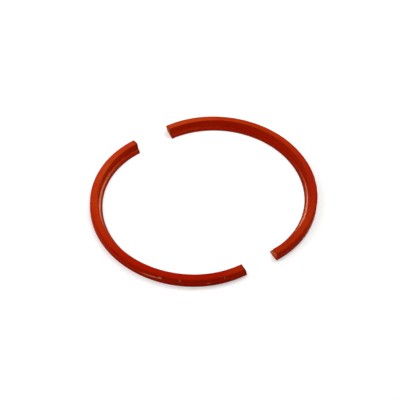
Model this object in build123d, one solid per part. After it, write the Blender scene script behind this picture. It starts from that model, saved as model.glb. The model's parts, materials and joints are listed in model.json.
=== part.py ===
from build123d import *
import os

# Rear main seal in two halves: moulded silicone half rings that lie flat, pulled a little apart.
# Millimetres. Z is the seal's axis and points up, X runs across the split and Y along it.
# The origin is the middle of the pair's footprint, on the surface that it lies on.

# Fit in the engine
groove_diameter = 85.1  # housing groove that grips the outer face
spring_open = 0.65  # how far the outer face of a free half stands outside the groove's radius

# Body of the section, measured inward from the outer face and up from the foot
body_width = 3.8  # radial width at the foot of the inner wall
body_height = 4.6  # full height, at the inner edge of the top face
crown_drop = 0.4  # how much lower the top face is at its outer edge
wall_draft = 0.5  # how far the inner wall leans outward from its foot to the top

# Lip of the section, measured inward from the foot of the inner wall and up from the foot
lip_reach = 1.65  # how far the sealing edge stands inside the wall
lip_root_height = 1.3  # height of the crease where the lip leaves the wall
lip_swell = 0.16  # how far the back of the lip bulges above a straight slope
lip_edge_height = 0.5  # top of the sealing edge
lip_edge_lift = 0.2  # bottom of the sealing edge, clear of the table
relief_mouth = 0.9  # width of the relief channel under the lip's root, at the table
relief_floor = 0.3  # width of the channel's floor
relief_depth = 0.35  # depth of the channel
relief_setback = 0.3  # part of the mouth that lies outside the wall's foot

# Edges of the moulding
top_outer_round = 1.2
foot_outer_bevel = 0.35  # lead-in that eases the half into its groove
top_inner_bevel = 0.15

# Free arc of each half, from one cut end to the other, in degrees
half_arc_angle = 177.3

# How the pair lies
pull_apart = 14.3  # distance between the centres of the two halves
side_slip = -0.35  # how far the upper half has slipped along the split
upper_turn_angle = -0.4  # turn of each half about its own centre, in degrees
lower_turn_angle = 0.6

outer_radius = groove_diameter / 2 + spring_open
wall_radius = outer_radius - body_width
lip_radius = wall_radius - lip_reach


def lip_back():
    # Back of the lip: one shallow arc from the crease down to the sealing edge.
    crease = Vector(wall_radius, lip_root_height)
    edge = Vector(lip_radius, lip_edge_height)
    slope = edge - crease
    bulge = Vector(slope.Y, -slope.X).normalized() * lip_swell
    return ThreePointArc(crease, (crease + edge) / 2 + bulge, edge)


def underside():
    # Sealing edge, the underside of the lip and the relief channel that lets the lip bend.
    middle = wall_radius + relief_setback - relief_mouth / 2
    return Polyline(
        (lip_radius, lip_edge_height),
        (lip_radius, lip_edge_lift),
        (middle - relief_mouth / 2, 0),
        (middle - relief_floor / 2, relief_depth),
        (middle + relief_floor / 2, relief_depth),
        (middle + relief_mouth / 2, 0),
        (outer_radius, 0),
    )


def body_outline():
    # Outer face, the top face that falls away outward, and the inner wall down to the crease.
    return Polyline(
        (outer_radius, 0),
        (outer_radius, body_height - crown_drop),
        (wall_radius + wall_draft, body_height),
        (wall_radius, lip_root_height),
    )


def corner(face, x, y):
    # The corner of the face that is nearest to a point.
    return face.vertices().sort_by_distance((x, y, 0))[0]


def seal_section():
    # Cross-section of the moulding, with the radius along X and the height along Y.
    face = make_face([lip_back(), underside(), body_outline()])
    face = fillet(corner(face, outer_radius, body_height - crown_drop), top_outer_round)
    face = chamfer(corner(face, outer_radius, 0), foot_outer_bevel)
    return chamfer(corner(face, wall_radius + wall_draft, body_height), top_inner_bevel)


def half_ring(facing_angle):
    # One half: the section turned about the seal's axis, with square-cut ends. The middle of
    # its arc faces the given direction, in degrees from +X.
    ring = revolve(Plane.XZ * seal_section(), axis=Axis.Z, revolution_arc=half_arc_angle)
    return Rot(0, 0, facing_angle - half_arc_angle / 2) * ring


def pair_as_it_lies():
    # Both halves slid apart along X and moved so that the footprint's middle is the origin.
    upper = Pos(pull_apart / 2, side_slip / 2, 0) * half_ring(upper_turn_angle)
    lower = Pos(-pull_apart / 2, -side_slip / 2, 0) * half_ring(180 + lower_turn_angle)
    middle = Compound([upper, lower]).bounding_box().center()
    onto_origin = Pos(-middle.X, -middle.Y, 0)
    return onto_origin * upper, onto_origin * lower


upper_seal_half, lower_seal_half = pair_as_it_lies()

os.makedirs("parts", exist_ok=True)
export_step(upper_seal_half, "parts/upper_seal_half.step")
export_step(lower_seal_half, "parts/lower_seal_half.step")
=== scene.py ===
import json
import math

import bmesh
import bpy
from mathutils import Matrix, Vector, noise


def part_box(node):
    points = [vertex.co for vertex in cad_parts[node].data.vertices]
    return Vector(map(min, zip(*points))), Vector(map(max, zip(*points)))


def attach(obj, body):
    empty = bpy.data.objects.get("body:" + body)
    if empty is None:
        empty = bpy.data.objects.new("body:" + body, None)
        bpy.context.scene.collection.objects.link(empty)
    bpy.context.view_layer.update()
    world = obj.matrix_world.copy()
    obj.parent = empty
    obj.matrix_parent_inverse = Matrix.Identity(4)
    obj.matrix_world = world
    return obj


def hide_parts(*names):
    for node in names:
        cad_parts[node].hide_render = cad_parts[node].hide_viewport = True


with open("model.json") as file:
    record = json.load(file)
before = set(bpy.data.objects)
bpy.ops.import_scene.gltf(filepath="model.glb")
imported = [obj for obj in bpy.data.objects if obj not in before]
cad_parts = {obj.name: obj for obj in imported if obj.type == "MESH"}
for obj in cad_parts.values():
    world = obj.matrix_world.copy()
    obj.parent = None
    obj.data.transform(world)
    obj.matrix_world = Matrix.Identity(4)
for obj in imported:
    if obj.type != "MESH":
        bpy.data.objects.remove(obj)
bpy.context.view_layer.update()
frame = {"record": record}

# The two silicone half rings of a crankshaft's rear main seal, on a plain white surface.
mm = 0.001


# Cross-section of the seal, in millimetres. Inset is measured inward from the outer face,
# height up from the table.
sealSection = {
    "bodyWidth": 3.8,  # at the foot of the inner wall
    "bodyHeight": 4.6,  # at the inner edge of the top
    "crownDrop": 0.4,  # how much lower the top is at its outer edge
    "wallDraft": 0.5,  # how far the inner wall leans outward from its foot to the top
    "lipReach": 1.65,  # how far the sealing edge stands inside the wall
    "creaseHeight": 1.3,  # where the lip leaves the wall
    "lipSwell": 0.16,  # how far the back of the lip bulges
    "lipEdgeTop": 0.5,
    "lipEdgeLift": 0.2,  # bottom of the sealing edge, clear of the table
    "channelMouth": 0.9,  # relief channel under the lip's root
    "channelFloor": 0.3,
    "channelDepth": 0.35,
    "channelSetback": 0.3,  # part of the mouth that lies outside the wall's foot
    "topOuterRound": 1.2,
    "topInnerRound": 0.16,
    "creaseRound": 0.5,
    "footRound": 0.38,
    "lipRound": 0.06,
    "channelRound": 0.08,
}

# How finely the section is swept, how far a soft moulding strays from its drawing, and how far
# its painted shade, glints and sheen reach. Lengths are in millimetres.
sealSweep = {
    "steps": 640,  # how many sections there are from one cut end to the other
    "longestRun": 0.32,  # between points along the section
    "turnPerPoint": 16,  # degrees of a rounded corner between points
    "roundingShare": 0.45,  # most that one rounding takes of the run beside it
    "slowWave": 0.035,  # how far the slow unevenness rises and falls
    "slowSize": 17.0,
    "fineWave": 0.006,
    "fineSize": 2.6,
    "evenFoot": 1.0,  # height over which the unevenness grows from none at the table
    "endRound": 0.05,  # rounding of the cut ends
    "cutReach": 4.0,  # how far a slanting cut is felt along the seal
    "shadedRimWidth": 0.6,  # how wide the painted shade beside each cut is
    "paintedGlintsTo": 1.5,  # how far inward from the outer face a painted glint can lie
    "paintedSheenPower": 4,  # a higher power keeps the painted sheen to what faces straight up
}

# Places of the section where shade is painted into the colour: a step inward and up from a
# corner, how far the painted shade reaches around it, and how strong it is
paintedShadePlaces = {
    "foot": {"step": (0, 0), "reach": 1.4, "strong": 0.6},
    "shoulder": {"step": (0.3, -0.6), "reach": 0.6, "strong": 0.6},
    "topEdge": {"step": (0.1, -0.25), "reach": 0.32, "strong": 0.7},
    "wall": {"step": (0.3, -1.2), "reach": 0.8, "strong": 0.35},
    "lipEdge": {"step": (0, 0), "reach": 0.45, "strong": 1.0},
}

# The arc of each half and the direction that its middle faces, in degrees. The seed makes its
# unevenness differ from the other half's. The cuts say how far the foot, the top, the wall and
# the lip of each end face stand back in millimetres, and how much shade is painted on the skin
# beside them: over 1, the full painted shade is wider. A painted glint is a pale mark that
# stands in for a highlight, at a direction in degrees and a height, with its length along the
# seal, its width and how strong it is.
sealHalves = {
    "upperSealHalf": {
        "node": "upper_seal_half",
        "lip": "upper_lip",
        "facing": -0.4,
        "arc": 177.3,
        "seed": 3.7,
        "rimShade": 0.8,
        "firstCut": {"foot": 0, "top": 0, "wall": 0, "lip": 0.5},
        "lastCut": {"foot": 0.75, "top": -0.3, "wall": 0, "lip": 0},
        "paintedGlints": [(12.0, 3.6, 1.6, 0.3, 0.35), (-47.0, 3.3, 0.9, 0.3, 0.4)],
    },
    "lowerSealHalf": {
        "node": "lower_seal_half",
        "lip": "lower_lip",
        "facing": 180.6,
        "arc": 177.3,
        "seed": 41.2,
        "rimShade": 3.5,
        "firstCut": {"foot": 0.15, "top": 0.1, "wall": -0.5, "lip": 0.1},
        "lastCut": {"foot": -0.65, "top": 0.5, "wall": 0, "lip": 0},
        "paintedGlints": [
            (211.0, 2.4, 4.5, 0.3, 0.6),
            (215.5, 2.8, 4.5, 0.3, 0.75),
            (218.9, 3.1, 1.3, 0.4, 1.0),
            (230.3, 3.5, 0.6, 0.4, 0.35),
            (246.5, 2.0, 1.6, 0.4, 0.25),
            (255.6, 3.4, 0.6, 0.4, 0.35),
        ],
    },
}


def sectionCorners(sizes):
    # Corners of the closed outline as (inset, height, rounding), clockwise from the foot.
    width = sizes["bodyWidth"]
    edge = width + sizes["lipReach"]
    mouthOuter = width - sizes["channelSetback"]
    middle = mouthOuter + sizes["channelMouth"] / 2
    mouthInner = mouthOuter + sizes["channelMouth"]
    halfFloor = sizes["channelFloor"] / 2
    corners = [
        (0, 0, sizes["footRound"]),
        (0, sizes["bodyHeight"] - sizes["crownDrop"], sizes["topOuterRound"]),
        (width - sizes["wallDraft"], sizes["bodyHeight"], sizes["topInnerRound"]),
        (width, sizes["creaseHeight"], sizes["creaseRound"]),
    ]
    # the back of the lip bulges as one shallow arc
    run = Vector((sizes["lipReach"], sizes["lipEdgeTop"] - sizes["creaseHeight"]))
    outward = Vector((-run.y, run.x)).normalized()
    for part in (0.2, 0.4, 0.6, 0.8):
        swell = sizes["lipSwell"] * 4 * part * (1 - part)
        point = Vector((width, sizes["creaseHeight"])) + run * part + outward * swell
        corners.append((point.x, point.y, 0))
    corners += [
        (edge, sizes["lipEdgeTop"], sizes["lipRound"]),
        (edge, sizes["lipEdgeLift"], sizes["lipRound"]),
        (mouthInner, 0, sizes["channelRound"]),
        (middle + halfFloor, sizes["channelDepth"], sizes["channelRound"]),
        (middle - halfFloor, sizes["channelDepth"], sizes["channelRound"]),
        (mouthOuter, 0, sizes["channelRound"]),
    ]
    return corners


def roundedCorner(before, corner, after, radius, sweep):
    # Points of the arc that replaces one corner; the corner itself where it has no rounding.
    toBefore = before - corner
    toAfter = after - corner
    if radius == 0:
        return [corner]
    opening = toBefore.angle(toAfter)
    longestReach = sweep["roundingShare"] * min(toBefore.length, toAfter.length)
    reach = min(radius / math.tan(opening / 2), longestReach)
    radius = reach * math.tan(opening / 2)
    start = corner + toBefore.normalized() * reach
    halfway = (toBefore.normalized() + toAfter.normalized()).normalized()
    centre = corner + halfway * (radius / math.sin(opening / 2))
    turn = (math.pi - opening) * (1 if toBefore.cross(toAfter) > 0 else -1)
    count = max(3, math.ceil(math.degrees(abs(turn)) / sweep["turnPerPoint"]))
    spoke = start - centre
    return [centre + Matrix.Rotation(-turn * i / count, 2) @ spoke for i in range(count + 1)]


def sectionOutline(sizes, sweep):
    # Closed outline with rounded corners, its long runs divided into short ones.
    corners = sectionCorners(sizes)
    rounded = []
    for index, (inset, height, radius) in enumerate(corners):
        before = Vector(corners[index - 1][:2])
        after = Vector(corners[(index + 1) % len(corners)][:2])
        rounded += roundedCorner(before, Vector((inset, height)), after, radius, sweep)
    outline = []
    for index, point in enumerate(rounded):
        following = rounded[(index + 1) % len(rounded)]
        pieces = max(1, math.ceil((following - point).length / sweep["longestRun"]))
        outline += [point.lerp(following, i / pieces) for i in range(pieces)]
    return outline


def onLip(one, other, sizes):
    # Whether a run of the outline belongs to the smooth sealing lip.
    middle = (one + other) / 2
    return middle.x > sizes["bodyWidth"] and middle.y < sizes["creaseHeight"]


def outlineNormals(outline):
    # Direction that points out of the rubber at each point of the outline.
    normals = []
    for index, point in enumerate(outline):
        along = outline[(index + 1) % len(outline)] - outline[index - 1]
        normals.append(Vector((-along.y, along.x)).normalized())
    return normals


def endRings(sweep, outerRadius, arc):
    # Places of the swept sections as (share of the arc, shrink): rounded over at both cut ends.
    small = sweep["endRound"] / outerRadius / math.radians(arc)
    rounding = [math.radians(angle) for angle in (0, 30, 60, 90)]
    first = [(small * (1 - math.cos(a)), sweep["endRound"] * (1 - math.sin(a))) for a in rounding]
    middle = [(i / sweep["steps"], 0) for i in range(1, sweep["steps"])]
    last = [(1 - share, shrink) for share, shrink in reversed(first)]
    return first + middle + last


def wave(place, seed, sweep):
    # Height of the moulding's slow and fine unevenness at a place, in millimetres.
    slow = noise.noise(place / sweep["slowSize"] + Vector((seed, 0, 0)))
    fine = noise.noise(place / sweep["fineSize"] + Vector((0, seed, 0)))
    return slow * sweep["slowWave"] + fine * sweep["fineWave"]


def cutBack(cut, point, sizes):
    # How far one point of a cut end stands back from the square cut, in millimetres.
    up = point.y / sizes["bodyHeight"]
    inward = point.x / (sizes["bodyWidth"] + sizes["lipReach"])
    low = cut["foot"] * (1 - inward) + cut["wall"] * 4 * inward * (1 - inward)
    return low * (1 - up) + cut["top"] * up + cut["lip"] * inward ** 2


def fade(distance, reach):
    # 1 at the place itself, and hardly anything at twice the reach.
    return math.exp(-((distance / reach) ** 2))


def outlineShade(outline, sizes):
    # How much shade is painted at each point of the outline: as much as the strongest place makes it.
    topInner = Vector((sizes["bodyWidth"] - sizes["wallDraft"], sizes["bodyHeight"]))
    corners = {
        "foot": Vector((0, 0)),
        "shoulder": Vector((0, sizes["bodyHeight"] - sizes["crownDrop"])),
        "topEdge": topInner,
        "wall": topInner,
        "lipEdge": Vector((sizes["bodyWidth"] + sizes["lipReach"], sizes["lipEdgeTop"])),
    }
    shadeMarks = []
    for point in outline:
        strongest = 0
        for name, dark in paintedShadePlaces.items():
            away = (point - corners[name] - Vector(dark["step"])).length
            strongest = max(strongest, dark["strong"] * fade(away, dark["reach"]))
        shadeMarks.append(strongest)
    return shadeMarks


def paintedGlintAt(turn, height, paintedGlints, radius):
    # Strength of the painted glints, pale marks that stand in for highlights, at one place of the outer
    # face.
    strength = 0
    for glintTurn, glintHeight, long, wide, strong in paintedGlints:
        away = math.radians(turn - glintTurn) * radius
        strength = max(strength, strong * fade(away, long / 2) * fade(height - glintHeight, wide))
    return strength


mouldedSkin, lipSkin, cutSkin = range(3)  # the order of the materials on each half


def onSeal(centre, spoke, outerRadius, point):
    # Where a point of the section lies above the table, in millimetres.
    flat = centre + spoke * (outerRadius - point.x)
    return Vector((flat.x, flat.y, point.y))


def joinSections(mesh, rings, places, outline, sizes):
    # Faces between the swept sections, mapped in millimetres along the seal and across it.
    surfaceMap = mesh.loops.layers.uv["alongSeal"]
    skins = []
    for i in range(len(outline)):
        skins.append(lipSkin if onLip(outline[i - 1], outline[i], sizes) else mouldedSkin)
    across = [0]
    for one, other in zip(outline, outline[1:]):
        across.append(across[-1] + (other - one).length)
    closingRun = (outline[0] - outline[-1]).length
    for here, following, start, stop in zip(rings, rings[1:], places, places[1:]):
        for i in range(len(outline)):
            face = mesh.faces.new((here[i - 1], here[i], following[i], following[i - 1]))
            face.smooth = True
            face.material_index = skins[i]
            near, far = across[i - 1] if i else -closingRun, across[i]
            onMap = ((start, near), (start, far), (stop, far), (stop, near))
            for loop, spot in zip(face.loops, onMap):
                loop[surfaceMap].uv = spot


def makeSealHalf(name, half, sizes, sweep):
    # One half ring: the outline swept round its own centre, with a flat face at each cut end.
    lip = next(mount for mount in frame["record"]["mounts"] if mount["name"] == half["lip"])
    centre = Vector(lip["pos_m"][:2]) / mm
    low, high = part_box(half["node"])
    outerRadius = max(abs(low[0]), abs(high[0])) / mm - abs(centre.x)
    outline = sectionOutline(sizes, sweep)
    normals = outlineNormals(outline)
    shadeMarks = outlineShade(outline, sizes)
    mesh = bmesh.new()
    paintedGlintLayer = mesh.verts.layers.float.new("paintedGlint")
    paintedShadeLayer = mesh.verts.layers.float.new("paintedShade")
    paintedSheenLayer = mesh.verts.layers.float.new("paintedSheenShare")
    mesh.loops.layers.uv.new("alongSeal")
    places = []
    rings = []
    for share, shrink in endRings(sweep, outerRadius, half["arc"]):
        fromStart = math.radians(half["arc"] * share) * outerRadius
        fromEnd = math.radians(half["arc"] * (1 - share)) * outerRadius
        firstPull = max(0, 1 - fromStart / sweep["cutReach"]) ** 2
        lastPull = max(0, 1 - fromEnd / sweep["cutReach"]) ** 2
        fromCut = min(fromStart, fromEnd)
        # painted shade on the skin beside each cut; the cut face itself stays pale
        rim = half["rimShade"] * fade(fromCut, sweep["shadedRimWidth"]) if fromCut > 0 else 0
        ring = []
        for point, normal, dark in zip(outline, normals, shadeMarks):
            shift = cutBack(half["firstCut"], point, sizes) * firstPull
            shift -= cutBack(half["lastCut"], point, sizes) * lastPull
            turn = half["facing"] + half["arc"] * (share - 0.5) + math.degrees(shift / outerRadius)
            spoke = Vector((math.cos(math.radians(turn)), math.sin(math.radians(turn))))
            place = onSeal(centre, spoke, outerRadius, point)
            rise = wave(place, half["seed"], sweep) * min(1, point.y / sweep["evenFoot"]) - shrink
            moved = onSeal(centre, spoke, outerRadius, point + normal * rise)
            moved.z = max(moved.z, 0)
            vertex = mesh.verts.new(moved * mm)
            # painted glints, pale marks for highlights near the outer face
            if point.x < sweep["paintedGlintsTo"]:
                vertex[paintedGlintLayer] = paintedGlintAt(turn, point.y, half["paintedGlints"], outerRadius)
            # painted shade at the section's corners and beside the cuts
            vertex[paintedShadeLayer] = max(dark, rim)
            vertex[paintedSheenLayer] = max(0, normal.y) ** sweep["paintedSheenPower"]  # painted sheen, strongest on what faces straight up
            ring.append(vertex)
        rings.append(ring)
        places.append(fromStart)
    joinSections(mesh, rings, places, outline, sizes)
    for cutEnd in (list(reversed(rings[0])), rings[-1]):
        face = mesh.faces.new(cutEnd)
        face.material_index = cutSkin
        bmesh.ops.triangulate(mesh, faces=[face])
    bmesh.ops.recalc_face_normals(mesh, faces=mesh.faces)
    data = bpy.data.meshes.new(name)
    mesh.to_mesh(data)
    mesh.free()
    piece = bpy.data.objects.new(name, data)
    bpy.context.collection.objects.link(piece)
    return piece


def addNode(tree, kind, **inputs):
    # A shader node with its input sockets set or linked by name.
    node = tree.nodes.new(kind)
    for name, value in inputs.items():
        socket = node.inputs[name]
        if isinstance(value, bpy.types.NodeSocket):
            tree.links.new(value, socket)
        else:
            socket.default_value = value
    return node


def scaled(tree, value, before, after):
    # A value spread from one range to another.
    spread = addNode(tree, "ShaderNodeMapRange", Value=value)
    spread.inputs["From Min"].default_value, spread.inputs["From Max"].default_value = before
    spread.inputs["To Min"].default_value, spread.inputs["To Max"].default_value = after
    return spread.outputs["Result"]


def calculated(tree, operation, one, other):
    # The result of one operation on two values.
    node = tree.nodes.new("ShaderNodeMath")
    node.operation = operation
    tree.links.new(one, node.inputs[0])
    tree.links.new(other, node.inputs[1])
    return node.outputs[0]


noiseSpread = (0.3, 0.7)  # most values of the noise lie between these
markShare = 0.6  # share of a mark's strength that is left between the patches


def speckle(tree, place, size, detail, low, high):
    # Noise over the object, in patches of a size in millimetres, spread from low to high.
    patches = addNode(tree, "ShaderNodeTexNoise", Vector=place, Scale=1 / (size * mm), Detail=detail)
    return scaled(tree, patches.outputs["Fac"], noiseSpread, (low, high))


def mark(tree, layer, patches, strength):
    # A mark that is kept with the mesh, uneven from patch to patch.
    kept = tree.nodes.new("ShaderNodeAttribute")
    kept.attribute_name = layer
    uneven = scaled(tree, patches, (0, 1), (markShare * strength, strength))
    return calculated(tree, "MULTIPLY", kept.outputs["Fac"], uneven)


def mixColours(tree, factor, one, other):
    # One colour where the factor is 0, the other where it is 1.
    mix = tree.nodes.new("ShaderNodeMix")
    mix.data_type = "RGBA"
    tree.links.new(factor, mix.inputs["Factor"])
    for socket, value in ((mix.inputs[6], one), (mix.inputs[7], other)):
        if isinstance(value, bpy.types.NodeSocket):
            tree.links.new(value, socket)
        else:
            socket.default_value = (*value, 1)
    return mix.outputs[2]


# Orange-red silicone as it comes from the mould, with its sizes in millimetres
mouldedSilicone = {
    "colour": (0.45, 0.005, 0.0003),
    "paleColour": (0.52, 0.011, 0.0005),  # mottled over the first colour
    "deepColour": (0.385, 0.0008, 0.0002),  # of the slow cloud of painted shade and of the flow lines
    "mottleSize": 3.0,
    # slow cloud of painted light and shade, shifted so the deep colour lies over one side of the seal
    "shadeAndToneCloudSize": 55,
    "shadeAndToneCloudShift": (7, 530, -600),
    "shadeAndToneCloudStrength": 0.9,
    "roughness": (0.3, 0.4),
    "specular": 0.004,
    "specularTint": (1.0, 0.4, 0.02),
    "bloom": 0.15,  # a soft sheen
    "bloomRoughness": 0.75,
    "bloomTint": (1.0, 0.22, 0.01),
    "grainSize": 0.28,
    "grainHeight": 0.004,
    "flowLength": 14,  # lines along the seal that the flow of the rubber leaves
    "flowWidth": 0.45,
    "flowSpread": (0.45, 0.7),  # a line begins at the first of these noise values
    "flowTone": 0.35,
    "paintedSheen": 0.8,  # how strong the painted sheen is on what faces up
    "paintedSheenColour": (0.53, 0.056, 0.005),
    # painted glints: a pale colour that stands in for highlights on the outer face
    "paintedGlintColour": (0.9, 0.4, 0.22),
    "paintedShadeColour": (0.15, 0.004, 0.001),  # painted shade, at the section's corners and beside the cuts
    "paintedShadeStrength": 0.7,
}

# The lip is moulded against polished steel, so it is smoother. Its colours are darker than the body's, as
# painted shade
lipSilicone = {
    **mouldedSilicone,
    "colour": (0.34, 0.003, 0.0003),
    "paleColour": (0.4, 0.007, 0.0004),
    "deepColour": (0.28, 0.001, 0.0002),
    "roughness": (0.2, 0.27),
    "specular": 0.17,
    "bloom": 0.05,
    "paintedSheen": 0,
}

# Cut ends: paler and matt, with a coarser grain
cutSilicone = {
    **mouldedSilicone,
    "colour": (0.58, 0.05, 0.016),
    "paleColour": (0.72, 0.13, 0.06),
    "deepColour": (0.3, 0.02, 0.006),
    "mottleSize": 0.9,
    "shadeAndToneCloudSize": 2.5,
    "roughness": (0.5, 0.7),
    "grainSize": 0.16,
    "grainHeight": 0.02,
    "flowTone": 0,
    "paintedSheen": 0,
    "paintedShadeStrength": 0.35,
}


def makeSilicone(name, look):
    material = bpy.data.materials.new(name)
    material.use_nodes = True
    tree = material.node_tree
    shader = tree.nodes["Principled BSDF"]
    place = tree.nodes.new("ShaderNodeTexCoord").outputs["Object"]
    mottle = speckle(tree, place, look["mottleSize"], detail=4, low=0, high=1)
    shifted = addNode(tree, "ShaderNodeVectorMath")
    tree.links.new(place, shifted.inputs[0])
    shifted.inputs[1].default_value = [part * mm for part in look["shadeAndToneCloudShift"]]
    shiftedPlace = shifted.outputs["Vector"]
    shadeAndToneCloud = speckle(tree, shiftedPlace, look["shadeAndToneCloudSize"], detail=1, low=0, high=look["shadeAndToneCloudStrength"])
    alongSeal = addNode(tree, "ShaderNodeMapping", Vector=tree.nodes.new("ShaderNodeUVMap").outputs["UV"])
    alongSeal.inputs["Scale"].default_value = (1 / look["flowLength"], 1 / look["flowWidth"], 1)
    flow = addNode(tree, "ShaderNodeTexNoise", Vector=alongSeal.outputs["Vector"], Scale=1, Detail=2)
    flowLines = scaled(tree, flow.outputs["Fac"], look["flowSpread"], (0, look["flowTone"]))
    paintedSheenShare = mark(tree, "paintedSheenShare", mottle, look["paintedSheen"])
    paintedShade = mark(tree, "paintedShade", mottle, look["paintedShadeStrength"])
    paintedGlint = mark(tree, "paintedGlint", mottle, 1)
    colour = mixColours(tree, mottle, look["colour"], look["paleColour"])
    # painted sheen: a paler, more orange colour on what faces up
    colour = mixColours(tree, paintedSheenShare, colour, look["paintedSheenColour"])
    # painted shade: the slow cloud deepens the colour over one side; on the cut ends it is a fine mottle of
    # tone
    colour = mixColours(tree, shadeAndToneCloud, colour, look["deepColour"])
    colour = mixColours(tree, flowLines, colour, look["deepColour"])
    # painted shade: a dark colour at the foot, shoulder, top's inner edge, wall, lip's edge and beside the
    # cuts
    colour = mixColours(tree, paintedShade, colour, look["paintedShadeColour"])
    # painted glints: pale marks that stand in for highlights on the outer face
    colour = mixColours(tree, paintedGlint, colour, look["paintedGlintColour"])
    tree.links.new(colour, shader.inputs["Base Color"])
    smooth, rough = look["roughness"]
    roughness = speckle(tree, place, look["mottleSize"] / 3, detail=3, low=smooth, high=rough)
    tree.links.new(roughness, shader.inputs["Roughness"])
    shader.inputs["Specular IOR Level"].default_value = look["specular"]
    shader.inputs["Specular Tint"].default_value = (*look["specularTint"], 1)
    shader.inputs["Sheen Weight"].default_value = look["bloom"]
    shader.inputs["Sheen Roughness"].default_value = look["bloomRoughness"]
    shader.inputs["Sheen Tint"].default_value = (*look["bloomTint"], 1)
    grain = addNode(tree, "ShaderNodeTexNoise", Vector=place, Scale=1 / (look["grainSize"] * mm), Detail=3)
    bump = addNode(tree, "ShaderNodeBump", Height=grain.outputs["Fac"])
    bump.inputs["Distance"].default_value = look["grainHeight"] * mm
    tree.links.new(bump.outputs["Normal"], shader.inputs["Normal"])
    return material


# White table in metres: its size, how far it lies under the seal so that the two don't touch,
# its colour, how much plain white the camera sees on it near the seal, and how far from its
# middle that begins to rise and reaches plain white
table = {
    "size": 3.0,
    "under": 0.00002,
    "colour": 0.8,
    "cameraWhite": 0.38,
    "whiteFrom": 0.1,
    "whiteTo": 0.35,
}


def whiteForCamera(tree):
    # 1 for what the camera, a reflection or clear material sees, 0 for the light that falls on things.
    rays = tree.nodes.new("ShaderNodeLightPath").outputs
    seen = calculated(tree, "MAXIMUM", rays["Is Camera Ray"], rays["Is Glossy Ray"])
    return calculated(tree, "MAXIMUM", seen, rays["Is Transmission Ray"])


def makeTable():
    half = table["size"] / 2
    corners = [(-half, -half, 0), (half, -half, 0), (half, half, 0), (-half, half, 0)]
    data = bpy.data.meshes.new("table")
    data.from_pydata(corners, [], [(0, 1, 2, 3)])
    floor = bpy.data.objects.new("table", data)
    floor.location.z = -table["under"]
    bpy.context.collection.objects.link(floor)
    material = bpy.data.materials.new("whiteTable")
    material.use_nodes = True
    tree = material.node_tree
    tree.nodes.clear()
    paint = addNode(tree, "ShaderNodeBsdfDiffuse", Color=(*[table["colour"]] * 3, 1))
    away = addNode(tree, "ShaderNodeVectorMath")
    away.operation = "LENGTH"
    tree.links.new(tree.nodes.new("ShaderNodeTexCoord").outputs["Object"], away.inputs[0])
    reach = (table["whiteFrom"], table["whiteTo"])
    whiter = scaled(tree, away.outputs["Value"], reach, (table["cameraWhite"], 1))
    glow = addNode(tree, "ShaderNodeEmission", Strength=whiter)
    nothing = addNode(tree, "ShaderNodeEmission", Strength=0)
    extra = addNode(tree, "ShaderNodeMixShader", Fac=whiteForCamera(tree))
    tree.links.new(nothing.outputs[0], extra.inputs[1])
    tree.links.new(glow.outputs[0], extra.inputs[2])
    both = tree.nodes.new("ShaderNodeAddShader")
    tree.links.new(paint.outputs[0], both.inputs[0])
    tree.links.new(extra.outputs[0], both.inputs[1])
    tree.links.new(both.outputs[0], tree.nodes.new("ShaderNodeOutputMaterial").inputs["Surface"])
    data.materials.append(material)
    return floor


# Light of the room that falls on things; the room itself looks plain white
room = {"light": 0.26}


def makeRoom():
    world = bpy.data.worlds.new("whiteRoom")
    world.use_nodes = True
    tree = world.node_tree
    tree.nodes.clear()
    fill = addNode(tree, "ShaderNodeBackground", Strength=room["light"], Color=(1, 1, 1, 1))
    white = addNode(tree, "ShaderNodeBackground", Strength=1, Color=(1, 1, 1, 1))
    mix = addNode(tree, "ShaderNodeMixShader", Fac=whiteForCamera(tree))
    tree.links.new(fill.outputs[0], mix.inputs[1])
    tree.links.new(white.outputs[0], mix.inputs[2])
    tree.links.new(mix.outputs[0], tree.nodes.new("ShaderNodeOutputWorld").inputs["Surface"])
    bpy.context.scene.world = world


# Soft boxes: direction from the seal and height above the table in degrees, distance and size
# in metres, and how bright each is as a share of a plain white. The boxes light the seal and
# make no highlights. The strips make the highlights and nothing else.
softBoxes = {
    "rearSoftBox": {"turn": 22, "height": 65, "distance": 0.5, "width": 0.22, "tall": 0.22, "bright": 7.4},
    "leftSoftBox": {"turn": 150, "height": 46, "distance": 0.3, "width": 0.36, "tall": 0.28, "bright": 1.48},
    "leftStrip": {"turn": 74, "height": 38, "distance": 0.9, "width": 0.35, "tall": 0.35, "bright": 24},
    "rightStrip": {"turn": 24, "height": 43, "distance": 0.9, "width": 0.3, "tall": 0.3, "bright": 24},
}


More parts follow.
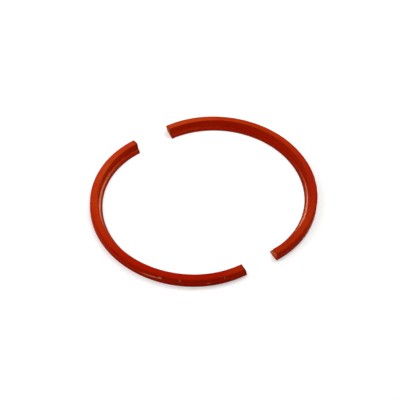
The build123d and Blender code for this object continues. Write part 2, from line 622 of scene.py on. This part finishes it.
def makeSoftBox(name, box):
    light = bpy.data.lights.new(name, "AREA")
    light.shape = "RECTANGLE"
    light.size = box["width"]
    light.size_y = box["tall"]
    light.energy = box["bright"] * math.pi * box["width"] * box["tall"]
    lamp = bpy.data.objects.new(name, light)
    turn, height = math.radians(box["turn"]), math.radians(box["height"])
    flat = math.cos(height)
    away = Vector((math.cos(turn) * flat, math.sin(turn) * flat, math.sin(height)))
    lamp.location = away * box["distance"]
    lamp.rotation_euler = away.to_track_quat("Z", "Y").to_euler()
    isStrip = name.endswith("Strip")
    lamp.visible_camera = False
    lamp.visible_diffuse = not isStrip
    lamp.visible_glossy = isStrip
    bpy.context.collection.objects.link(lamp)


# Camera: direction that it looks in (0 is along +Y, negative turns to +X) and height above the
# table in degrees, distance, aim and clipping in metres, roll in degrees, and lens and sensor in
# millimetres
viewpoint = {
    "turn": -37.3,
    "height": 49.7,
    "distance": 0.85,
    "aim": (-0.00199, 0.0003, 0.002),
    "roll": 4.34,
    "lens": 177.0,
    "sensor": 36,
    "clip": (0.05, 20),
}


def makeCamera():
    turn, height, roll = (math.radians(viewpoint[name]) for name in ("turn", "height", "roll"))
    flat = math.cos(height)
    look = Vector((-math.sin(turn) * flat, math.cos(turn) * flat, -math.sin(height)))
    right = Vector((math.cos(turn), math.sin(turn), 0))
    up = right.cross(look)
    rolledRight = right * math.cos(roll) + up * math.sin(roll)
    rolledUp = up * math.cos(roll) - right * math.sin(roll)
    data = bpy.data.cameras.new("camera")
    data.lens = viewpoint["lens"]
    data.sensor_width = viewpoint["sensor"]
    data.clip_start, data.clip_end = viewpoint["clip"]
    camera = bpy.data.objects.new("camera", data)
    spot = Vector(viewpoint["aim"]) - look * viewpoint["distance"]
    axes = Matrix((rolledRight, rolledUp, -look)).transposed()
    camera.matrix_world = Matrix.Translation(spot) @ axes.to_4x4()
    bpy.context.collection.objects.link(camera)
    bpy.context.scene.camera = camera


bpy.context.scene.view_settings.view_transform = "Standard"
silicones = [
    makeSilicone("mouldedSilicone", mouldedSilicone),
    makeSilicone("lipSilicone", lipSilicone),
    makeSilicone("cutSilicone", cutSilicone),
]
print("silicone is mixed")
for name, half in sealHalves.items():
    piece = makeSealHalf(name, half, sealSection, sealSweep)
    for material in silicones:
        piece.data.materials.append(material)
    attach(piece, "root")
    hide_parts(half["node"])
    print("moulded", name)

makeTable()
makeRoom()
for name, box in softBoxes.items():
    makeSoftBox(name, box)
makeCamera()
print("table, lights and camera are in place")
